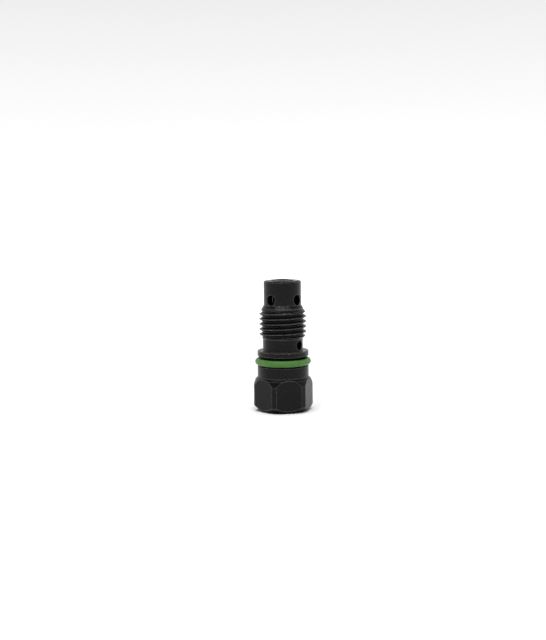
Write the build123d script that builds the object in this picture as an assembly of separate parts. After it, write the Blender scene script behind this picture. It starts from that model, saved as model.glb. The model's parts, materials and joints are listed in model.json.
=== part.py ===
from build123d import *
import math
import os

# Screw-in hydraulic cartridge valve: a pilot-operated pressure reducing valve with three ports.
# It stands on its hexagon with the nose up. Millimetres; Z is the axis of the cartridge and Z = 0 is
# the flat face of the hexagon. Port 1 is the nose, port 2 the four nose holes, port 3 the neck holes.

# ---------------------------------------------------------------- driving dimensions
# hexagon, milled from round bar so that a narrow land of the bar is left at each corner; above the
# lands the bar tapers to the shoulder in two slopes, which meet at the bend
HEX_ACROSS_FLATS = 16.0
BAR_RADIUS = 8.85
HEX_FACE_RADIUS = 7.2
HEX_CORNER_TOP = 7.9
HEX_BEND_RADIUS = 8.25
HEX_BEND_HEIGHT = 9.45
HEX_TOP = 10.15

# shoulder, seal groove and flange
SHOULDER_RADIUS = 7.6
GROOVE_BOTTOM = 13.35
GROOVE_TOP = 15.15
GROOVE_RADIUS = 6.3
FLANGE_TOP = 17.9
EDGE_BREAK = 0.2

# neck, cavity thread and nose
NECK_RADIUS = 5.95
NECK_TOP = 21.4
THREAD_PITCH = 1.5
THREAD_RADIUS = 6.95
THREAD_ROOT_RADIUS = 6.08
THREAD_ROOT_WIDTH = 0.31
THREAD_CREST_ANGLE = 167.8
THREAD_CREST_HEIGHT = 28.74
THREAD_START = 0.1
THREAD_END = 0.4
FLANK_ANGLE = 30.0

# a thread's ridge has its foot sunk into the shaft, and is trimmed a little under the shaft's chamfers
SINK = 0.25
TRIM = 0.03
CREST_CLEAR = 0.1
NOSE_RADIUS = 5.55
NOSE_BOTTOM = 31.4
NOSE_TOP = 38.55
NOSE_CHAMFER = 0.35

# ports
NOSE_PORT_ANGLE = -50.5
NOSE_PORT_HEIGHT = 33.0
NOSE_PORT_RADIUS = 1.6
NECK_PORT_ANGLE = -46.0
NECK_PORT_HEIGHT = 19.6
NECK_PORT_RADIUS = 1.4

# bores of the body, from the hexagon up
RETAINER_BORE_RADIUS = 5.3
RETAINER_BORE_TOP = 1.9
RING_GROOVE_BOTTOM = 0.75
RING_GROOVE_TOP = 1.55
RING_GROOVE_RADIUS = 5.8
TAP_PITCH = 1.0
TAP_MINOR_RADIUS = 4.46
TAP_MAJOR_RADIUS = 5.0
TAP_ROOT_WIDTH = 0.125
TAP_OVERCUT = 0.06
TAP_RUN_OUT = 0.3
TAP_TOP = 5.3
TAP_RELIEF_TOP = 6.1
TAP_RELIEF_RADIUS = 5.15
CHAMBER_RADIUS = 4.2
CHAMBER_BOTTOM = 6.5
CHAMBER_TOP = 16.8
DRAIN_BORE_RADIUS = 2.5
SEAT_STEP = 21.2
SPOOL_BORE_RADIUS = 3.0
SUPPLY_RECESS_RADIUS = 3.3
SUPPLY_RECESS_BOTTOM = 31.5
SUPPLY_RECESS_TOP = 34.5
BUSH_POCKET_RADIUS = 3.35
BUSH_POCKET_BOTTOM = 37.0

# fits
PRESS_GAP = 0.01
RUNNING_GAP = 0.03

# nose bush
BUSH_TOP = 38.8
BUSH_BORE_RADIUS = 1.6
BUSH_COUNTERSINK = 0.5

# body seal
BODY_RING_SECTION = 2.0
BODY_RING_HEIGHT = 14.62

# main spool and what it carries
SPOOL_BOTTOM = 25.4
SPOOL_TOP = 36.95
SPOOL_BORE_BOTTOM = 29.0
SPOOL_FLOW_RADIUS = 1.7
METERING_GROOVE_BOTTOM = 30.4
METERING_GROOVE_TOP = 32.3
METERING_GROOVE_RADIUS = 2.35
SPOOL_HOLE_RADIUS = 0.7
BALANCE_GROOVES = (26.6, 27.8, 29.0, 33.8, 35.0, 36.1)
BALANCE_GROOVE_WIDTH = 0.3
BALANCE_GROOVE_DEPTH = 0.25
SPRING_POCKET_RADIUS = 2.3
SPRING_POCKET_TOP = 27.3
JET_RADIUS = 1.0
JET_TOP = 28.8
JET_HOLE_RADIUS = 0.3
SCREEN_THICKNESS = 0.2
SCREEN_HOLE_RADIUS = 0.13
SCREEN_HOLE_SPACING = 0.42
SCREEN_RETAINER_HEIGHT = 0.7
SCREEN_RETAINER_BORE = 1.25

# bias spring, under the spool
BIAS_SPRING_RADIUS = 1.85
BIAS_SPRING_WIRE = 0.45
BIAS_SPRING_TURNS = 3.5

# pilot seat, poppet and pilot spring
SEAT_TOP = 23.8
SEAT_HOLE_RADIUS = 0.8
SEAT_MOUTH_DEPTH = 0.5
SEAT_GROOVE_BOTTOM = 22.1
SEAT_GROOVE_TOP = 23.3
SEAT_GROOVE_RADIUS = 2.2
SEAT_RING_HEIGHT = 0.96
POPPET_CONE_ANGLE = 30.0
POPPET_STEM_RADIUS = 1.5
POPPET_TIP_RADIUS = 0.35
POPPET_LAND_BOTTOM = 17.2
POPPET_LAND_TOP = 19.0
POPPET_BOTTOM = 15.6
GUIDE_RADIUS = 3.9
GUIDE_BOTTOM = 15.2
GUIDE_TOP = 16.0
GUIDE_BOSS_RADIUS = 2.2
GUIDE_BOSS_HEIGHT = 1.0
PILOT_SPRING_RADIUS = 3.3
PILOT_SPRING_WIRE = 0.95
PILOT_SPRING_TURNS = 3.0
SHIM_THICKNESS = 0.3
SHIM_RADIUS = 3.95
SPRING_SEAT_RADIUS = 4.05
SPRING_SEAT_BOTTOM = 9.2
SPRING_SEAT_TOP = 10.0
BALL_RADIUS = 1.0
BALL_HEIGHT = 9.05

# adjusting screw and its seals
SCREW_BOTTOM = 2.1
SCREW_THREAD_TOP = 4.6
SCREW_TOP = 8.9
SCREW_THREAD_RADIUS = 4.9
SCREW_ROOT_RADIUS = 4.38
SCREW_ROOT_WIDTH = 0.30
SCREW_GROOVE_BOTTOM = 7.1
SCREW_GROOVE_TOP = 8.4
SCREW_GROOVE_RADIUS = 3.35
SOCKET_ACROSS_FLATS = 5.0
SOCKET_TOP = 5.3
SOCKET_DRILL_RADIUS = 2.3
SOCKET_CONE_HEIGHT = 1.0
BACKUP_THICKNESS = 0.3
BACKUP_SPLIT = 0.15
PELLET_RADIUS = 0.8
PELLET_HEIGHT = 3.35
PELLET_INNER = 3.25
PELLET_OUTER = 4.35
PELLET_ANGLE = 90.0

# retaining ring, an internal circlip with two lugs
RING_BOTTOM = 0.78
RING_THICKNESS = 0.74
RING_OUTER = 5.75
RING_INNER = 4.7
RING_GAP_ANGLE = 44.0
RING_LUG_RADIUS = 0.85
RING_LUG_HOLE = 0.42
RING_LUG_DISTANCE = 4.55
RING_LUG_ANGLE = 6.0
RING_GAP_DIRECTION = -90.0

LOW = (Align.CENTER, Align.CENTER, Align.MIN)


# ---------------------------------------------------------------- shape helpers
def rise(run, angle):
    """How far a line rises across a run, when it leans by an angle in degrees."""
    return run * math.tan(math.radians(angle))


def turned(*outline):
    """Solid turned about Z from a closed outline of (radius, height) points."""
    return revolve(Plane.XZ * make_face(Polyline(*outline, close=True)), Axis.Z)


def rod(radius, bottom, top):
    """Cylinder on the axis."""
    return Pos(0, 0, bottom) * Cylinder(radius, top - bottom, align=LOW)


def washer(outer, inner, bottom, top):
    """Flat ring on the axis."""
    return rod(outer, bottom, top) - rod(inner, bottom, top)


def hexagon(across_flats, bottom, top):
    """Hexagonal prism on the axis with a corner on +X."""
    outline = RegularPolygon(across_flats / 2, 6, major_radius=False)
    return Pos(0, 0, bottom) * extrude(outline, top - bottom)


def cross_hole(radius, height, angle, reach):
    """Radial drill that starts at the axis and reaches outwards at an angle about Z."""
    return Pos(0, 0, height) * Rot(0, 0, angle) * Rot(0, 90, 0) * Cylinder(radius, reach, align=LOW)


def squeezed_ring(inner, outer, height, bottom_to_top):
    """Seal ring squeezed in its groove: an oval section that touches both walls."""
    section = Pos((inner + outer) / 2, height) * Ellipse((outer - inner) / 2, bottom_to_top / 2)
    return revolve(Plane.XZ * section, Axis.Z)


def helical(section, pitch, radius, bottom, top, angle, height):
    """Right-handed helical sweep whose middle passes a given angle at a given height."""
    groove = sweep(Plane.XZ * section, path=Helix(pitch, top - bottom, radius), is_frenet=True)
    return Pos(0, 0, bottom) * Rot(0, 0, angle - 360 * (height - bottom) / pitch) * groove


def thread_cutter(pitch, root, mouth, root_width, bottom, top, angle, height):
    """Helical V cutter for a thread in a bore."""
    half_root = root_width / 2
    half_mouth = half_root + rise(root - mouth, FLANK_ANGLE)
    section = make_face(Polyline((root, -half_root), (mouth, -half_mouth), (mouth, half_mouth),
                                 (root, half_root), close=True))
    return helical(section, pitch, root, bottom, top, angle, height)


def thread_ridge(pitch, root, crest, root_width, bottom, top, angle, height):
    """Helical ridge of a thread on a shaft; its foot is sunk into the shaft."""
    half_root = (pitch - root_width) / 2
    half_crest = half_root - rise(crest - root, FLANK_ANGLE)
    section = make_face(Polyline((root - SINK, -half_root), (root, -half_root), (crest, -half_crest),
                                 (crest, half_crest), (root, half_root), (root - SINK, half_root),
                                 close=True))
    return helical(section, pitch, root, bottom, top, angle, height)


def coil_spring(mean_radius, wire, bottom, top, turns):
    """Compression spring with its two ends ground flat."""
    pitch = (top - bottom) / turns
    path = Helix(pitch, top - bottom, mean_radius)
    section = Plane.XZ * (Pos(mean_radius, 0) * Circle(wire / 2))
    coil = Pos(0, 0, bottom) * sweep(section, path=path, is_frenet=True)
    return coil & rod(mean_radius + wire, bottom, top)


# ---------------------------------------------------------------- body
def body_outside():
    """Turned outside of the body, before the hexagon and the thread are made."""
    hex_chamfer = BAR_RADIUS - HEX_FACE_RADIUS
    groove_cone = SHOULDER_RADIUS - GROOVE_RADIUS
    root_step = THREAD_ROOT_RADIUS - NECK_RADIUS
    root_lead = (THREAD_ROOT_RADIUS - NOSE_RADIUS) / rise(1, FLANK_ANGLE)
    return turned(
        (0, 0),
        (HEX_FACE_RADIUS, 0),
        (BAR_RADIUS, hex_chamfer),
        (BAR_RADIUS, HEX_CORNER_TOP),
        (HEX_BEND_RADIUS, HEX_BEND_HEIGHT),
        (SHOULDER_RADIUS, HEX_TOP),
        (SHOULDER_RADIUS, GROOVE_BOTTOM - EDGE_BREAK / 2),
        (SHOULDER_RADIUS - EDGE_BREAK / 2, GROOVE_BOTTOM),
        (GROOVE_RADIUS, GROOVE_BOTTOM),
        (GROOVE_RADIUS, GROOVE_TOP),
        (SHOULDER_RADIUS, GROOVE_TOP + groove_cone),
        (SHOULDER_RADIUS, FLANGE_TOP - EDGE_BREAK),
        (SHOULDER_RADIUS - EDGE_BREAK, FLANGE_TOP),
        (NECK_RADIUS + EDGE_BREAK, FLANGE_TOP),
        (NECK_RADIUS, FLANGE_TOP + EDGE_BREAK),
        (NECK_RADIUS, NECK_TOP),
        (THREAD_ROOT_RADIUS, NECK_TOP + root_step),
        (THREAD_ROOT_RADIUS, NOSE_BOTTOM - root_lead),
        (NOSE_RADIUS, NOSE_BOTTOM),
        (NOSE_RADIUS, NOSE_TOP - NOSE_CHAMFER),
        (NOSE_RADIUS - NOSE_CHAMFER, NOSE_TOP),
        (0, NOSE_TOP),
    )


def cavity_thread():
    """Ridge of the cavity thread, trimmed by the two chamfers at its ends."""
    inside = THREAD_ROOT_RADIUS - 2 * SINK
    outside = THREAD_RADIUS + CREST_CLEAR
    bottom, top = NECK_TOP + TRIM, NOSE_BOTTOM - TRIM
    trim = turned(
        (inside, bottom),
        (NECK_RADIUS, bottom),
        (outside, bottom + outside - NECK_RADIUS),
        (outside, top - (outside - NOSE_RADIUS) / rise(1, FLANK_ANGLE)),
        (NOSE_RADIUS, top),
        (inside, top),
    )
    ridge = thread_ridge(THREAD_PITCH, THREAD_ROOT_RADIUS, THREAD_RADIUS, THREAD_ROOT_WIDTH,
                         NECK_TOP - THREAD_START, NOSE_BOTTOM - THREAD_END,
                         THREAD_CREST_ANGLE, THREAD_CREST_HEIGHT)
    return ridge & trim


def body_bores():
    """Stepped bore that runs the length of the body."""
    mouth = RETAINER_BORE_RADIUS + EDGE_BREAK
    tap_mouth = TAP_MAJOR_RADIUS + EDGE_BREAK / 2
    return turned(
        (0, 0),
        (mouth, 0),
        (RETAINER_BORE_RADIUS, EDGE_BREAK),
        (RETAINER_BORE_RADIUS, RING_GROOVE_BOTTOM),
        (RING_GROOVE_RADIUS, RING_GROOVE_BOTTOM),
        (RING_GROOVE_RADIUS, RING_GROOVE_TOP),
        (RETAINER_BORE_RADIUS, RING_GROOVE_TOP),
        (RETAINER_BORE_RADIUS, RETAINER_BORE_TOP),
        (tap_mouth, RETAINER_BORE_TOP),
        (TAP_MINOR_RADIUS, RETAINER_BORE_TOP + tap_mouth - TAP_MINOR_RADIUS),
        (TAP_MINOR_RADIUS, TAP_TOP),
        (TAP_RELIEF_RADIUS, TAP_TOP),
        (TAP_RELIEF_RADIUS, TAP_RELIEF_TOP),
        (TAP_MINOR_RADIUS, TAP_RELIEF_TOP),
        (CHAMBER_RADIUS, CHAMBER_BOTTOM),
        (CHAMBER_RADIUS, CHAMBER_TOP),
        (DRAIN_BORE_RADIUS, CHAMBER_TOP),
        (DRAIN_BORE_RADIUS, SEAT_STEP),
        (SPOOL_BORE_RADIUS, SEAT_STEP),
        (SPOOL_BORE_RADIUS, SUPPLY_RECESS_BOTTOM),
        (SUPPLY_RECESS_RADIUS, SUPPLY_RECESS_BOTTOM),
        (SUPPLY_RECESS_RADIUS, SUPPLY_RECESS_TOP),
        (SPOOL_BORE_RADIUS, SUPPLY_RECESS_TOP),
        (SPOOL_BORE_RADIUS, BUSH_POCKET_BOTTOM),
        (BUSH_POCKET_RADIUS, BUSH_POCKET_BOTTOM),
        (BUSH_POCKET_RADIUS, NOSE_TOP),
        (0, NOSE_TOP),
    )


def valve_body():
    """Body: hexagon, seal groove, flange, neck, cavity thread and nose, with its bores and ports."""
    body = body_outside() + cavity_thread()
    body -= rod(2 * BAR_RADIUS, 0, HEX_TOP) - hexagon(HEX_ACROSS_FLATS, 0, HEX_TOP)
    body -= body_bores()
    body -= thread_cutter(TAP_PITCH, TAP_MAJOR_RADIUS, TAP_MINOR_RADIUS - TAP_OVERCUT, TAP_ROOT_WIDTH,
                          RETAINER_BORE_TOP - TAP_PITCH / 2, TAP_TOP + TAP_RUN_OUT, 0, SCREW_BOTTOM)
    for quarter in range(4):
        body -= cross_hole(NOSE_PORT_RADIUS, NOSE_PORT_HEIGHT, NOSE_PORT_ANGLE + 90 * quarter, BAR_RADIUS)
    for half in range(2):
        body -= cross_hole(NECK_PORT_RADIUS, NECK_PORT_HEIGHT, NECK_PORT_ANGLE + 180 * half, BAR_RADIUS)
    return body


def body_o_ring():
    """Large seal ring in the groove under the flange."""
    radius = BODY_RING_SECTION / 2
    return Pos(0, 0, BODY_RING_HEIGHT) * Torus(GROOVE_RADIUS + radius + PRESS_GAP, radius)


def nose_bush():
    """Hardened bush pressed into the nose; its rim stands proud of the nose."""
    outer = BUSH_POCKET_RADIUS - PRESS_GAP
    return turned(
        (BUSH_BORE_RADIUS, BUSH_POCKET_BOTTOM),
        (outer, BUSH_POCKET_BOTTOM),
        (outer, BUSH_TOP - EDGE_BREAK / 2),
        (outer - EDGE_BREAK / 2, BUSH_TOP),
        (BUSH_BORE_RADIUS + BUSH_COUNTERSINK, BUSH_TOP),
        (BUSH_BORE_RADIUS, BUSH_TOP - BUSH_COUNTERSINK),
    )


# ---------------------------------------------------------------- main spool
def main_spool():
    """Spool that opens and closes the way from the nose holes to the nose."""
    outer = SPOOL_BORE_RADIUS - RUNNING_GAP
    spool = turned(
        (0, SPOOL_BOTTOM),
        (outer - EDGE_BREAK, SPOOL_BOTTOM),
        (outer, SPOOL_BOTTOM + EDGE_BREAK),
        (outer, METERING_GROOVE_BOTTOM),
        (METERING_GROOVE_RADIUS, METERING_GROOVE_BOTTOM),
        (METERING_GROOVE_RADIUS, METERING_GROOVE_TOP),
        (outer, METERING_GROOVE_TOP),
        (outer, SPOOL_TOP - EDGE_BREAK),
        (outer - EDGE_BREAK, SPOOL_TOP),
        (0, SPOOL_TOP),
    )
    for height in BALANCE_GROOVES:
        spool -= washer(2 * outer, outer - BALANCE_GROOVE_DEPTH, height, height + BALANCE_GROOVE_WIDTH)
    spool -= rod(SPRING_POCKET_RADIUS, SPOOL_BOTTOM, SPRING_POCKET_TOP)
    spool -= rod(JET_RADIUS, SPRING_POCKET_TOP, JET_TOP)
    spool -= rod(SCREEN_RETAINER_BORE, JET_TOP, SPOOL_BORE_BOTTOM)
    spool -= rod(SPOOL_FLOW_RADIUS, SPOOL_BORE_BOTTOM, SPOOL_TOP)
    middle = (METERING_GROOVE_BOTTOM + METERING_GROOVE_TOP) / 2
    for quarter in range(4):
        spool -= cross_hole(SPOOL_HOLE_RADIUS, middle, 90 * quarter, outer)
    return spool


def orifice_jet():
    """Screwed jet with a screwdriver slot; it feeds the pilot stage."""
    outer = JET_RADIUS - PRESS_GAP
    jet = washer(outer, JET_HOLE_RADIUS, SPRING_POCKET_TOP, JET_TOP)
    slot = Box(2 * JET_RADIUS, JET_HOLE_RADIUS, 2 * JET_HOLE_RADIUS)
    return jet - Pos(0, 0, JET_TOP) * slot


def filter_screen():
    """Thin punched screen that guards the jet: a centre hole and two rings of holes."""
    bottom = SPOOL_BORE_BOTTOM
    screen = rod(SPOOL_FLOW_RADIUS - PRESS_GAP, bottom, bottom + SCREEN_THICKNESS)
    hole = rod(SCREEN_HOLE_RADIUS, bottom, bottom + SCREEN_THICKNESS)
    screen -= hole
    for ring in (1, 2):
        for step in range(6 * ring):
            screen -= Rot(0, 0, 60 * step / ring) * Pos(ring * SCREEN_HOLE_SPACING, 0, 0) * hole
    return screen


def screen_retainer():
    """Ring pressed into the spool above the screen."""
    bottom = SPOOL_BORE_BOTTOM + SCREEN_THICKNESS
    return washer(SPOOL_FLOW_RADIUS - PRESS_GAP, SCREEN_RETAINER_BORE, bottom,
                  bottom + SCREEN_RETAINER_HEIGHT)


def bias_spring():
    """Light spring that holds the spool open, between the pilot seat and the spool."""
    return coil_spring(BIAS_SPRING_RADIUS, BIAS_SPRING_WIRE, SEAT_TOP, SPRING_POCKET_TOP,
                       BIAS_SPRING_TURNS)


# ---------------------------------------------------------------- pilot stage
def pilot_seat():
    """Seat of the pilot poppet, held on the step in the spool bore."""
    outer = SPOOL_BORE_RADIUS - PRESS_GAP
    return turned(
        (SEAT_HOLE_RADIUS + SEAT_MOUTH_DEPTH, SEAT_STEP),
        (outer, SEAT_STEP),
        (outer, SEAT_GROOVE_BOTTOM),
        (SEAT_GROOVE_RADIUS, SEAT_GROOVE_BOTTOM),
        (SEAT_GROOVE_RADIUS, SEAT_GROOVE_TOP),
        (outer, SEAT_GROOVE_TOP),
        (outer, SEAT_TOP),
        (SEAT_HOLE_RADIUS, SEAT_TOP),
        (SEAT_HOLE_RADIUS, SEAT_STEP + SEAT_MOUTH_DEPTH),
    )


def seat_o_ring():
    """Seal ring round the pilot seat."""
    middle = (SEAT_GROOVE_BOTTOM + SEAT_GROOVE_TOP) / 2
    return squeezed_ring(SEAT_GROOVE_RADIUS + PRESS_GAP, SPOOL_BORE_RADIUS - PRESS_GAP, middle,
                         SEAT_RING_HEIGHT)


def pilot_poppet():
    """Poppet with a cone that closes the seat, a guided land with three flats, and a spigot."""
    contact = SEAT_STEP + SEAT_MOUTH_DEPTH - RUNNING_GAP
    slope = math.tan(math.radians(POPPET_CONE_ANGLE))
    cone_bottom = contact - (POPPET_STEM_RADIUS - SEAT_HOLE_RADIUS) / slope
    tip = contact + (SEAT_HOLE_RADIUS - POPPET_TIP_RADIUS) / slope
    land = DRAIN_BORE_RADIUS - RUNNING_GAP
    poppet = turned(
        (0, POPPET_BOTTOM),
        (POPPET_STEM_RADIUS, POPPET_BOTTOM),
        (POPPET_STEM_RADIUS, POPPET_LAND_BOTTOM),
        (land, POPPET_LAND_BOTTOM),
        (land, POPPET_LAND_TOP),
        (POPPET_STEM_RADIUS, POPPET_LAND_TOP),
        (POPPET_STEM_RADIUS, cone_bottom),
        (POPPET_TIP_RADIUS, tip),
        (0, tip),
    )
    middle = (POPPET_LAND_BOTTOM + POPPET_LAND_TOP) / 2
    flat = Pos(land, 0, middle) * Box(land - POPPET_STEM_RADIUS, 2 * land, 2 * land)
    for third in range(3):
        poppet -= Rot(0, 0, 120 * third) * flat
    return poppet


def spring_guide():
    """Plate that carries the load of the pilot spring to the poppet."""
    plate = rod(GUIDE_RADIUS, GUIDE_BOTTOM, GUIDE_TOP)
    plate += rod(GUIDE_BOSS_RADIUS, GUIDE_BOTTOM - GUIDE_BOSS_HEIGHT, GUIDE_BOTTOM)
    return plate - rod(POPPET_STEM_RADIUS + PRESS_GAP, POPPET_BOTTOM, GUIDE_TOP)


def pilot_spring():
    """Stiff spring whose load sets the outlet pressure."""
    return coil_spring(PILOT_SPRING_RADIUS, PILOT_SPRING_WIRE, SPRING_SEAT_TOP + SHIM_THICKNESS,
                       GUIDE_BOTTOM, PILOT_SPRING_TURNS)


def spring_shim():
    """Shim under the pilot spring, for its setting."""
    return washer(SHIM_RADIUS, GUIDE_BOSS_RADIUS + PRESS_GAP, SPRING_SEAT_TOP,
                  SPRING_SEAT_TOP + SHIM_THICKNESS)


def spring_seat():
    """Lower plate of the pilot spring, with a dimple for the ball and a boss inside the spring."""
    plate = rod(SPRING_SEAT_RADIUS, SPRING_SEAT_BOTTOM, SPRING_SEAT_TOP)
    plate += rod(GUIDE_BOSS_RADIUS, SPRING_SEAT_TOP, SPRING_SEAT_TOP + GUIDE_BOSS_HEIGHT)
    return plate - Pos(0, 0, BALL_HEIGHT) * Sphere(BALL_RADIUS + PRESS_GAP)


def thrust_ball():
    """Ball that lets the screw turn under the spring seat."""
    return Pos(0, 0, BALL_HEIGHT) * Sphere(BALL_RADIUS)


# ---------------------------------------------------------------- adjuster
def screw_thread():
    """Ridge of the adjusting screw's thread, with a chamfer at both ends."""
    inside = SCREW_ROOT_RADIUS - 2 * SINK
    outside = SCREW_THREAD_RADIUS + CREST_CLEAR
    bottom, top = SCREW_BOTTOM + TRIM, SCREW_THREAD_TOP - TRIM
    trim = turned(
        (inside, bottom + EDGE_BREAK),
        (SCREW_ROOT_RADIUS, bottom + EDGE_BREAK),
        (outside, bottom + EDGE_BREAK + outside - SCREW_ROOT_RADIUS),
        (outside, top - outside + SCREW_ROOT_RADIUS),
        (SCREW_ROOT_RADIUS, top),
        (inside, top),
    )
    ridge = thread_ridge(TAP_PITCH, SCREW_ROOT_RADIUS, SCREW_THREAD_RADIUS, SCREW_ROOT_WIDTH,
                         bottom - THREAD_START, top - THREAD_START, 0, SCREW_BOTTOM)
    return ridge & trim


def adjusting_screw():
    """Socket screw that sets the pilot spring, with a thread, a sealed land and a ball dimple."""
    land = CHAMBER_RADIUS - RUNNING_GAP
    screw = turned(
        (0, SCREW_BOTTOM),
        (SCREW_ROOT_RADIUS - EDGE_BREAK, SCREW_BOTTOM),
        (SCREW_ROOT_RADIUS, SCREW_BOTTOM + EDGE_BREAK),
        (SCREW_ROOT_RADIUS, SCREW_THREAD_TOP),
        (land, SCREW_THREAD_TOP + SCREW_ROOT_RADIUS - land),
        (land, SCREW_GROOVE_BOTTOM),
        (SCREW_GROOVE_RADIUS, SCREW_GROOVE_BOTTOM),
        (SCREW_GROOVE_RADIUS, SCREW_GROOVE_TOP),
        (land, SCREW_GROOVE_TOP),
        (land, SCREW_TOP - EDGE_BREAK),
        (land - EDGE_BREAK, SCREW_TOP),
        (0, SCREW_TOP),
    ) + screw_thread()
    screw -= hexagon(SOCKET_ACROSS_FLATS, SCREW_BOTTOM, SOCKET_TOP)
    screw -= Pos(0, 0, SOCKET_TOP) * Cone(SOCKET_DRILL_RADIUS, 0, SOCKET_CONE_HEIGHT, align=LOW)
    screw -= Pos(0, 0, BALL_HEIGHT) * Sphere(BALL_RADIUS + PRESS_GAP)
    pocket = cross_hole(PELLET_RADIUS + PRESS_GAP, PELLET_HEIGHT, PELLET_ANGLE, BAR_RADIUS)
    return screw - (pocket - rod(PELLET_INNER, SCREW_BOTTOM, SCREW_THREAD_TOP))


def adjuster_o_ring():
    """Seal ring of the adjusting screw."""
    bottom = SCREW_GROOVE_BOTTOM + BACKUP_THICKNESS + 2 * PRESS_GAP
    top = SCREW_GROOVE_TOP - PRESS_GAP
    return squeezed_ring(SCREW_GROOVE_RADIUS + PRESS_GAP, CHAMBER_RADIUS - PRESS_GAP,
                         (bottom + top) / 2, top - bottom)


def adjuster_backup_ring():
    """Stiff split ring that keeps the adjuster's seal from extruding."""
    bottom = SCREW_GROOVE_BOTTOM + PRESS_GAP
    ring = washer(CHAMBER_RADIUS - RUNNING_GAP, SCREW_GROOVE_RADIUS + PRESS_GAP, bottom,
                  bottom + BACKUP_THICKNESS)
    split = Pos(CHAMBER_RADIUS, 0, bottom) * Box(CHAMBER_RADIUS, BACKUP_SPLIT, 3 * BACKUP_THICKNESS)
    return ring - split


def locking_pellet():
    """Plastic pellet that keeps the adjusting screw from turning by itself."""
    pellet = cross_hole(PELLET_RADIUS, PELLET_HEIGHT, PELLET_ANGLE, PELLET_OUTER)
    return pellet - rod(PELLET_INNER + PRESS_GAP, SCREW_BOTTOM, SCREW_THREAD_TOP)


def retaining_ring():
    """Internal circlip under the adjusting screw, with a gap between two drilled lugs."""
    half_gap = RING_GAP_ANGLE / 2
    ring = Circle(RING_OUTER) - Circle(RING_INNER)
    reach = 2 * RING_OUTER
    edges = [(reach * math.cos(math.radians(a)), reach * math.sin(math.radians(a)))
             for a in (-half_gap, half_gap)]
    ring -= make_face(Polyline((0, 0), *edges, close=True))
    for side in (-1, 1):
        spot = Rot(0, 0, side * (half_gap + RING_LUG_ANGLE)) * Pos(RING_LUG_DISTANCE, 0)
        ring += spot * Circle(RING_LUG_RADIUS)
        ring -= spot * Circle(RING_LUG_HOLE)
    return Pos(0, 0, RING_BOTTOM) * Rot(0, 0, RING_GAP_DIRECTION) * extrude(ring, RING_THICKNESS)


# ---------------------------------------------------------------- one STEP file per piece
PIECES = (
    valve_body, body_o_ring, nose_bush,
    main_spool, orifice_jet, filter_screen, screen_retainer, bias_spring,
    pilot_seat, seat_o_ring, pilot_poppet, spring_guide, pilot_spring, spring_shim, spring_seat,
    thrust_ball, adjusting_screw, adjuster_o_ring, adjuster_backup_ring, locking_pellet,
    retaining_ring,
)

os.makedirs("parts", exist_ok=True)
for make_piece in PIECES:
    export_step(make_piece(), os.path.join("parts", make_piece.__name__ + ".step"))
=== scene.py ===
import json
import math

import bmesh
import bpy
from mathutils import Matrix, Vector


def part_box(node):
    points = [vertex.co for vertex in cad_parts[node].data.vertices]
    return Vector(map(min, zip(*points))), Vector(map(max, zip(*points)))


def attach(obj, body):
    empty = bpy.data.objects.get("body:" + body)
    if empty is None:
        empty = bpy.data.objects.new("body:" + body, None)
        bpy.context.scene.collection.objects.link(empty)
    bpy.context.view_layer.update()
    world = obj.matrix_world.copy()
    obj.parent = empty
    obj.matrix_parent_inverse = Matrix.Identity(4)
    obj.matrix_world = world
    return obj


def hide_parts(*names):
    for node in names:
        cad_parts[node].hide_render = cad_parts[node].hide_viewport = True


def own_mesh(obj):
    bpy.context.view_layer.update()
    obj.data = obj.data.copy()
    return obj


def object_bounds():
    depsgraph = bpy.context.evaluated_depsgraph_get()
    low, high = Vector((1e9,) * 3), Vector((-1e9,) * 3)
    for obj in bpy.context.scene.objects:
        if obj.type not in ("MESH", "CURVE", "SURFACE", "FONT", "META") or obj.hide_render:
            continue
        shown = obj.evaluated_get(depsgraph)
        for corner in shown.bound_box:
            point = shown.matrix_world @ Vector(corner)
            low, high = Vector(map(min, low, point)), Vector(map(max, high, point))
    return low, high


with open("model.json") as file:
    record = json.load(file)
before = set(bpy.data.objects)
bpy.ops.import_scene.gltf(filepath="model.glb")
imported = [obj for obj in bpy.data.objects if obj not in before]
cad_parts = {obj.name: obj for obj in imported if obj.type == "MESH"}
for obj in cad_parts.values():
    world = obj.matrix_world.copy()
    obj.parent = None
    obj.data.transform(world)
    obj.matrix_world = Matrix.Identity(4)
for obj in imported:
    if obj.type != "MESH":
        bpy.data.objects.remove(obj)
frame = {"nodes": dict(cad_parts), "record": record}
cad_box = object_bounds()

# A screw-in cartridge valve on a white table. Lengths are in metres; MM turns millimetres into metres.
MM = 0.001

# ---------------------------------------------------------------- camera, in degrees and metres
VIEW_AZIMUTH = -12.2
CAMERA_DISTANCE = 0.3233
CAMERA_HEIGHT = 0.0635
CAMERA_TILT = -6.47
CAMERA_TURN = 0.505
CAMERA_ROLL = -0.65
LENS_MM = 61.9
SENSOR_MM = 36.0

# ---------------------------------------------------------------- table and light
# the table's glow as (distance from the valve, strength); lamp angles are in degrees
FLOOR_RADIUS = 3.0
GLOW_START = (0.06, 0.0)
GLOW_FULL = (0.4, 0.5)
SKYLIGHT_POWER = 1.95
SKYLIGHT_SPREAD = 50.0
LAMP_AZIMUTHS = (-52.0, -24.0, 6.0, 42.0)
LAMP_ELEVATION = 57.0
LAMP_DISTANCE = 1.1
LAMP_SIZE = 0.04
LAMP_POWER = 1.6

# the room's light, first as (place from the far side to the camera's side, brightness), then as
# (height, share left) overhead, and last as (height, brightness) of the wall that the camera sees
ROOM_STOPS = ((0.0, 1.0), (0.55, 0.88), (0.8, 0.3), (1.0, 0.15))
CEILING_STOPS = ((0.4, 1.0), (0.75, 0.3))
WALL_STOPS = ((0.0, 1.05), (0.06, 1.0), (0.17, 0.86), (0.6, 0.7))

# ---------------------------------------------------------------- wear on the metal's edges, and painted shade in its grooves
EDGE_RADIUS = 0.12 * MM
BRIGHT_EDGE_RADIUS = 0.08 * MM
GROOVE_REACH = 0.8 * MM

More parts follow.
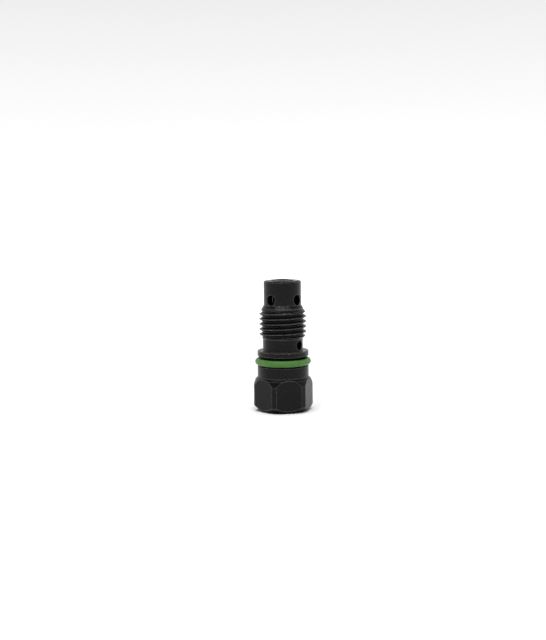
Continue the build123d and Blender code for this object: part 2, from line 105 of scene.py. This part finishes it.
# ---------------------------------------------------------------- springs and seal ring
RING_SECTION = 2.0 * MM
RING_STEPS_AROUND = 288
RING_STEPS_ACROSS = 72
FLASH_HEIGHT = 0.03 * MM
FLASH_WIDTH = 0.09
PILOT_WIRE = 0.95 * MM
PILOT_TURNS = 4.0
BIAS_WIRE = 0.45 * MM
BIAS_TURNS = 5.0
CLOSED_PITCH = 0.9
WIRE_STEPS_PER_TURN = 72
WIRE_STEPS_ACROSS = 24


# ---------------------------------------------------------------- shader helpers
def new_material(name):
    """A material with one Principled shader; returns the material and its tree."""
    material = bpy.data.materials.new(name)
    material.use_nodes = True
    return material, material.node_tree


def shader(tree):
    """The tree's Principled shader."""
    return tree.nodes["Principled BSDF"]


def set_shader(tree, **values):
    """Sets plain values on the shader's own sockets; an underscore stands for a space."""
    for name, value in values.items():
        shader(tree).inputs[name.replace("_", " ")].default_value = value


def place(tree, scale=(1, 1, 1)):
    """Position in the part's own frame, in millimetres, stretched along each axis."""
    coordinates = tree.nodes.new("ShaderNodeTexCoord")
    mapping = tree.nodes.new("ShaderNodeMapping")
    mapping.inputs["Scale"].default_value = [s / MM for s in scale]
    tree.links.new(coordinates.outputs["Object"], mapping.inputs["Vector"])
    return mapping.outputs["Vector"]


def noise(tree, vector, scale, detail=4.0, roughness=0.6):
    """Soft cloudy noise from 0 to 1; the scale is in patches for each millimetre."""
    node = tree.nodes.new("ShaderNodeTexNoise")
    node.inputs["Scale"].default_value = scale
    node.inputs["Detail"].default_value = detail
    node.inputs["Roughness"].default_value = roughness
    tree.links.new(vector, node.inputs["Vector"])
    return node.outputs["Fac"]


def ramp(tree, value, *stops):
    """Colour ramp; each stop is (position, colour or grey)."""
    node = tree.nodes.new("ShaderNodeValToRGB")
    elements = node.color_ramp.elements
    while len(elements) < len(stops):
        elements.new(0.5)
    for element, (position, colour) in zip(elements, stops):
        element.position = position
        grey = isinstance(colour, (int, float))
        element.color = (colour, colour, colour, 1) if grey else (*colour, 1)
    tree.links.new(value, node.inputs["Fac"])
    return node.outputs["Color"]


def math_node(tree, operation, first, second):
    """Arithmetic on two outputs or plain numbers."""
    node = tree.nodes.new("ShaderNodeMath")
    node.operation = operation
    for socket, value in zip(node.inputs, (first, second)):
        if isinstance(value, (int, float)):
            socket.default_value = value
        else:
            tree.links.new(value, socket)
    return node.outputs["Value"]


def blend_colours(tree, share, first, second, mode="MIX"):
    """Mixes two colours, or a colour and a plain colour value, by a share."""
    node = tree.nodes.new("ShaderNodeMix")
    node.data_type = "RGBA"
    node.blend_type = mode
    sockets = {"Factor": share, "A": first, "B": second}
    for socket in node.inputs:
        if socket.name in sockets and socket.type in ("RGBA", "VALUE"):
            value = sockets[socket.name]
            if isinstance(value, bpy.types.NodeSocket):
                tree.links.new(value, socket)
            elif socket.type == "RGBA" and not isinstance(value, (int, float)):
                socket.default_value = (*value, 1)
            elif socket.type == "VALUE" and isinstance(value, (int, float)):
                socket.default_value = value
    return next(s for s in node.outputs if s.type == "RGBA")


def rounded_edges(tree, radius):
    """Surface normal with every edge rounded by a radius."""
    node = tree.nodes.new("ShaderNodeBevel")
    node.samples = 8
    node.inputs["Radius"].default_value = radius
    return node.outputs["Normal"]


def edges(tree, rounded):
    """0 on open faces, and more along an edge the sharper it is: how far a rounded normal leans."""
    geometry = tree.nodes.new("ShaderNodeNewGeometry")
    dot = tree.nodes.new("ShaderNodeVectorMath")
    dot.operation = "DOT_PRODUCT"
    tree.links.new(rounded, dot.inputs[0])
    tree.links.new(geometry.outputs["Normal"], dot.inputs[1])
    lean = math_node(tree, "SUBTRACT", 1.0, dot.outputs["Value"])
    return math_node(tree, "SQRT", math_node(tree, "MAXIMUM", lean, 0.0), 0.0)


def openness(tree, reach):
    """1 where the metal lies open and less in grooves and corners, looking as far as the reach."""
    node = tree.nodes.new("ShaderNodeAmbientOcclusion")
    node.samples = 8
    node.only_local = True
    node.inputs["Distance"].default_value = reach
    return node.outputs["AO"]


def bump(tree, height, distance, strength=1.0, under=None):
    """Normal of a fine relief, laid on another normal where one is given."""
    node = tree.nodes.new("ShaderNodeBump")
    node.inputs["Strength"].default_value = strength
    node.inputs["Distance"].default_value = distance
    tree.links.new(height, node.inputs["Height"])
    if under is not None:
        tree.links.new(under, node.inputs["Normal"])
    return node.outputs["Normal"]


def connect(tree, **sockets):
    """Links outputs to the shader's inputs; an underscore stands for a space."""
    for name, output in sockets.items():
        tree.links.new(output, shader(tree).inputs[name.replace("_", " ")])


# ---------------------------------------------------------------- materials
def black_oxide():
    """Oiled black oxide on turned steel: mottled, finely ringed by the tool, with painted shade in grooves
    where its reflection is turned down by occlusion, grey where open edges wear."""
    material, tree = new_material("black_oxide")
    mottle = noise(tree, place(tree), 0.55, 6.0)
    speckle = noise(tree, place(tree), 9.0, 3.0)
    rings = noise(tree, place(tree, (0.03, 0.03, 1)), 11.0, 3.0)
    colour = ramp(tree, mottle, (0.3, (0.0024, 0.0024, 0.0026)), (0.72, (0.0056, 0.0053, 0.0051)))
    dust = ramp(tree, speckle, (0.60, 0.0), (0.78, 0.5))
    colour = blend_colours(tree, dust, colour, (0.018, 0.0175, 0.017))
    patchy = ramp(tree, noise(tree, place(tree), 1.8, 5.0), (0.3, 0.45), (0.65, 1.0))
    rounded = rounded_edges(tree, EDGE_RADIUS)
    worn = ramp(tree, edges(tree, rounded), (0.05, 0.0), (0.15, 1.0))
    worn = math_node(tree, "MULTIPLY", worn, patchy)
    open_air = openness(tree, GROOVE_REACH)
    worn = math_node(tree, "MULTIPLY", worn, ramp(tree, open_air, (0.70, 0.0), (0.88, 1.0)))
    # painted shade: the reflection is turned down in grooves and corners, the more the deeper they are
    # closed in
    painted_groove_shade = ramp(tree, open_air, (0.45, 0.12), (0.85, 0.5))
    colour = blend_colours(tree, worn, colour, (0.185, 0.177, 0.168))
    rough = ramp(tree, noise(tree, place(tree), 1.3, 5.0), (0.3, 0.23), (0.7, 0.34))
    rough = blend_colours(tree, worn, rough, (0.2, 0.2, 0.2))
    grain = bump(tree, speckle, 0.012 * MM, 0.5, rounded)
    connect(tree, Base_Color=colour, Roughness=rough, Specular_IOR_Level=painted_groove_shade,
            Normal=bump(tree, rings, 0.010 * MM, 0.6, grain))
    set_shader(tree, IOR=1.235, Metallic=0.0)
    return material


def green_rubber():
    """Moulded green seal rubber with a faint bloom and fine dimples."""
    material, tree = new_material("green_rubber")
    patches = noise(tree, place(tree), 0.8, 5.0)
    dimples = noise(tree, place(tree), 14.0, 2.0)
    colour = ramp(tree, patches, (0.3, (0.042, 0.138, 0.020)), (0.7, (0.066, 0.185, 0.036)))
    rough = ramp(tree, patches, (0.3, 0.42), (0.7, 0.55))
    connect(tree, Base_Color=colour, Roughness=rough, Normal=bump(tree, dimples, 0.01 * MM, 0.5))
    set_shader(tree, IOR=1.4)
    return material


def black_rubber():
    """Black seal rubber, faintly patchy."""
    material, tree = new_material("black_rubber")
    patches = noise(tree, place(tree), 1.2, 5.0)
    colour = ramp(tree, patches, (0.3, (0.010, 0.010, 0.010)), (0.7, (0.022, 0.022, 0.023)))
    dimples = noise(tree, place(tree), 16.0, 2.0)
    connect(tree, Base_Color=colour, Normal=bump(tree, dimples, 0.008 * MM, 0.5))
    set_shader(tree, Roughness=0.5)
    return material


def turned_metal(name, dark, light, rough_low, rough_high, ring_scale=14.0, wear=(0.9, 0.9, 0.9)):
    """Bare turned or ground metal: fine rings round Z, brighter edges, thin stains."""
    material, tree = new_material(name)
    stains = noise(tree, place(tree), 0.9, 6.0)
    rings = noise(tree, place(tree, (0.04, 0.04, 1)), ring_scale, 3.0)
    colour = ramp(tree, stains, (0.3, dark), (0.7, light))
    worn = ramp(tree, edges(tree, rounded_edges(tree, BRIGHT_EDGE_RADIUS)), (0.10, 0.0), (0.5, 0.8))
    colour = blend_colours(tree, worn, colour, wear)
    rough = ramp(tree, noise(tree, place(tree), 2.2, 4.0), (0.3, rough_low), (0.7, rough_high))
    connect(tree, Base_Color=colour, Roughness=rough, Normal=bump(tree, rings, 0.008 * MM, 0.6))
    set_shader(tree, Metallic=1.0)
    return material


def plain_plastic(name, dark, light, grain_scale):
    """Matte plastic with slow tone changes and a fine grain."""
    material, tree = new_material(name)
    tone = noise(tree, place(tree), 1.0, 5.0)
    grain = noise(tree, place(tree), grain_scale, 2.0)
    connect(tree, Base_Color=ramp(tree, tone, (0.3, dark), (0.7, light)),
            Roughness=ramp(tree, grain, (0.3, 0.5), (0.7, 0.65)),
            Normal=bump(tree, grain, 0.01 * MM, 0.4))
    set_shader(tree, IOR=1.4)
    return material


def make_materials():
    """Every material of the valve, by the name of its slot."""
    return {
        "black_oxide": black_oxide(),
        "green_rubber": green_rubber(),
        "black_rubber": black_rubber(),
        "hardened_steel": turned_metal("hardened_steel", (0.30, 0.30, 0.31), (0.46, 0.46, 0.47),
                                       0.16, 0.30),
        # a dark nitrided finish, made near black so that the spool seen through the nose holes is as dark
        # as their shade: partly painted shade
        "nitrided_steel": turned_metal("nitrided_steel", (0.022, 0.022, 0.024), (0.05, 0.05, 0.052),
                                       0.3, 0.45, wear=(0.07, 0.07, 0.072)),
        "spring_steel": turned_metal("spring_steel", (0.20, 0.20, 0.21), (0.34, 0.34, 0.35),
                                     0.22, 0.36, ring_scale=9.0),
        "brass": turned_metal("brass", (0.55, 0.36, 0.12), (0.78, 0.58, 0.26), 0.18, 0.32,
                              wear=(0.95, 0.78, 0.42)),
        "stainless_mesh": turned_metal("stainless_mesh", (0.48, 0.48, 0.49), (0.62, 0.62, 0.62), 0.2, 0.3),
        "ptfe": plain_plastic("ptfe", (0.68, 0.67, 0.63), (0.82, 0.81, 0.77), 12.0),
        "nylon": plain_plastic("nylon", (0.60, 0.57, 0.46), (0.74, 0.71, 0.60), 18.0),
    }


# ---------------------------------------------------------------- mesh pieces
def finish_piece(mesh, name, body, node, slot, materials):
    """Makes a smooth object from a mesh, puts it on its body and lets it stand for a CAD node."""
    piece = bpy.data.objects.new(name, mesh)
    bpy.context.scene.collection.objects.link(piece)
    mesh.materials.append(materials[slot])
    for face in mesh.polygons:
        face.use_smooth = True
    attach(piece, body)
    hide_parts(node)
    return piece


def seal_ring(materials):
    """Seal ring with the thin mould flash that runs round its inside and outside."""
    low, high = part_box("body_o_ring")
    section = RING_SECTION / 2
    radius = high.x - section
    height = (low.z + high.z) / 2
    around, across = RING_STEPS_AROUND, RING_STEPS_ACROSS
    made = bmesh.new()
    loops = []
    for i in range(around):
        turn = 2 * math.pi * i / around
        loop = []
        for j in range(across):
            angle = 2 * math.pi * j / across
            flash = FLASH_HEIGHT * math.exp(-(math.sin(angle) / FLASH_WIDTH) ** 2)
            reach = section - FLASH_HEIGHT + flash
            out = radius + reach * math.cos(angle)
            loop.append(made.verts.new((out * math.cos(turn), out * math.sin(turn),
                                        height + reach * math.sin(angle))))
        loops.append(loop)
    for i in range(around):
        here, there = loops[i], loops[(i + 1) % around]
        for j in range(across):
            k = (j + 1) % across
            made.faces.new((here[j], there[j], there[k], here[k]))
    mesh = bpy.data.meshes.new("seal_ring")
    made.to_mesh(mesh)
    made.free()
    return finish_piece(mesh, "seal_ring", "body", "body_o_ring", "green_rubber", materials)


def spring_height(share, turns, low, high, wire):
    """Height of the wire's centre along a spring whose first and last turns lie closed."""
    closed = CLOSED_PITCH * wire
    dead = 1.0 / turns
    if share < dead:
        return low + closed * share / dead
    if share > 1 - dead:
        return high - closed * (1 - share) / dead
    middle = (share - dead) / (1 - 2 * dead)
    return low + closed + (high - low - 2 * closed) * middle


def spring_mesh(name, low, high, wire, turns):
    """Compression spring: round wire, closed ends ground flat."""
    mean = high.x - wire / 2
    bottom, top = low.z, high.z
    steps, across = int(WIRE_STEPS_PER_TURN * turns), WIRE_STEPS_ACROSS
    made = bmesh.new()
    loops = []
    for i in range(steps + 1):
        share = i / steps
        turn = 2 * math.pi * turns * share
        middle = spring_height(share, turns, bottom + wire / 4, top - wire / 4, wire)
        loop = []
        for j in range(across):
            angle = 2 * math.pi * j / across
            out = mean + wire / 2 * math.cos(angle)
            height = middle + wire / 2 * math.sin(angle)
            height = min(max(height, bottom), top)
            loop.append(made.verts.new((out * math.cos(turn), out * math.sin(turn), height)))
        loops.append(loop)
    for here, there in zip(loops, loops[1:]):
        for j in range(across):
            k = (j + 1) % across
            made.faces.new((here[j], there[j], there[k], here[k]))
    made.faces.new(loops[0])
    made.faces.new(reversed(loops[-1]))
    bmesh.ops.recalc_face_normals(made, faces=made.faces)
    mesh = bpy.data.meshes.new(name)
    made.to_mesh(mesh)
    made.free()
    return mesh


def springs(materials):
    """The two springs, each built from its CAD node's box and put on the valve body."""
    low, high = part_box("pilot_spring")
    pilot = finish_piece(spring_mesh("pilot_coil", low, high, PILOT_WIRE, PILOT_TURNS), "pilot_coil",
                         "body", "pilot_spring", "spring_steel", materials)
    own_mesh(pilot)
    low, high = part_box("bias_spring")
    bias = finish_piece(spring_mesh("bias_coil", low, high, BIAS_WIRE, BIAS_TURNS), "bias_coil",
                        "body", "bias_spring", "spring_steel", materials)
    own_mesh(bias)


def paint_nodes(materials):
    """Gives every CAD node the material of its slot in the record."""
    for part in frame["record"]["subparts"]:
        node = frame["nodes"][part["node"]]
        for place_for_material in node.material_slots:
            place_for_material.material = materials[part["material_slot"]]


# ---------------------------------------------------------------- stage
def floor_material():
    """White table that glows a little away from the valve, so that its far edge melts into the wall."""
    material, tree = new_material("white_table")
    grain = noise(tree, place(tree), 0.02, 3.0)
    coordinates = tree.nodes.new("ShaderNodeTexCoord")
    distance = tree.nodes.new("ShaderNodeVectorMath")
    distance.operation = "LENGTH"
    tree.links.new(coordinates.outputs["Object"], distance.inputs[0])
    glow = ramp(tree, distance.outputs["Value"], GLOW_START, GLOW_FULL)
    connect(tree, Base_Color=ramp(tree, grain, (0.3, 0.87), (0.7, 0.90)), Emission_Strength=glow)
    set_shader(tree, Roughness=0.7, IOR=1.3, Emission_Color=(1, 1, 1, 1))
    return material


def floor():
    """Round white table top; the valve stands in its middle."""
    mesh = bpy.data.meshes.new("table_top")
    made = bmesh.new()
    bmesh.ops.create_circle(made, cap_ends=True, segments=96, radius=FLOOR_RADIUS)
    made.to_mesh(mesh)
    made.free()
    table = bpy.data.objects.new("table_top", mesh)
    bpy.context.scene.collection.objects.link(table)
    table.location.z = cad_box[0].z
    mesh.materials.append(floor_material())


def direction(azimuth, elevation):
    """Unit vector from the valve towards a place round it, measured as the camera's azimuth is."""
    turn, lift = math.radians(azimuth), math.radians(elevation)
    return Vector((math.sin(turn) * math.cos(lift), -math.cos(turn) * math.cos(lift), math.sin(lift)))


def area_light(name, place_at, size, power):
    """Round lamp that faces the middle of the valve."""
    light = bpy.data.lights.new(name, "AREA")
    light.shape = "DISK"
    light.size = size
    light.energy = power
    lamp = bpy.data.objects.new(name, light)
    bpy.context.scene.collection.objects.link(lamp)
    lamp.location = place_at
    middle = (Vector(cad_box[0]) + Vector(cad_box[1])) / 2
    lamp.rotation_euler = (middle - place_at).to_track_quat("-Z", "Y").to_euler()


def lights():
    """A soft skylight with no mirror image in the metal, and four small lamps high in front, which
    give the small glints."""
    light = bpy.data.lights.new("skylight", "SUN")
    light.energy = SKYLIGHT_POWER
    light.angle = math.radians(SKYLIGHT_SPREAD)
    skylight = bpy.data.objects.new("skylight", light)
    skylight.visible_glossy = False
    bpy.context.scene.collection.objects.link(skylight)
    for number, azimuth in enumerate(LAMP_AZIMUTHS):
        spot = LAMP_DISTANCE * direction(VIEW_AZIMUTH + azimuth, LAMP_ELEVATION)
        area_light(f"small_lamp_{number}", spot, LAMP_SIZE, LAMP_POWER)


def white_room():
    """White room, bright behind and beside the valve, dim overhead and on the camera's side."""
    world = bpy.data.worlds.new("white_room")
    bpy.context.scene.world = world
    world.use_nodes = True
    tree = world.node_tree
    coordinates = tree.nodes.new("ShaderNodeTexCoord")
    towards = tree.nodes.new("ShaderNodeVectorMath")
    towards.operation = "DOT_PRODUCT"
    towards.inputs[1].default_value = direction(VIEW_AZIMUTH, 0)
    tree.links.new(coordinates.outputs["Generated"], towards.inputs[0])
    side = math_node(tree, "MULTIPLY_ADD", towards.outputs["Value"], 0.5)
    side.node.inputs[2].default_value = 0.5
    room = ramp(tree, side, *ROOM_STOPS)
    split = tree.nodes.new("ShaderNodeSeparateXYZ")
    tree.links.new(coordinates.outputs["Generated"], split.inputs["Vector"])
    ceiling = ramp(tree, split.outputs["Z"], *CEILING_STOPS)
    room = blend_colours(tree, 1.0, room, ceiling, "MULTIPLY")
    wall = ramp(tree, split.outputs["Z"], *WALL_STOPS)
    path = tree.nodes.new("ShaderNodeLightPath")
    seen = blend_colours(tree, path.outputs["Is Camera Ray"], room, wall)
    tree.links.new(seen, tree.nodes["Background"].inputs["Color"])


def camera():
    """Camera a little above the valve, as in a catalogue picture."""
    data = bpy.data.cameras.new("camera")
    data.sensor_width = SENSOR_MM
    data.lens = LENS_MM
    data.clip_start = 0.01
    view = bpy.data.objects.new("camera", data)
    bpy.context.scene.collection.objects.link(view)
    spot = CAMERA_DISTANCE * direction(VIEW_AZIMUTH, 0)
    spot.z = CAMERA_HEIGHT
    heading = Matrix.Rotation(math.radians(VIEW_AZIMUTH + CAMERA_TURN), 4, "Z")
    tilt = Matrix.Rotation(math.radians(90 + CAMERA_TILT), 4, "X")
    roll = Matrix.Rotation(math.radians(CAMERA_ROLL), 4, "Z")
    view.matrix_world = Matrix.Translation(spot) @ heading @ tilt @ roll
    bpy.context.scene.camera = view


# ---------------------------------------------------------------- scene
bpy.context.scene.view_settings.view_transform = "Standard"
camera()
white_room()
lights()
floor()
finishes = make_materials()
paint_nodes(finishes)
seal_ring(finishes)
springs(finishes)
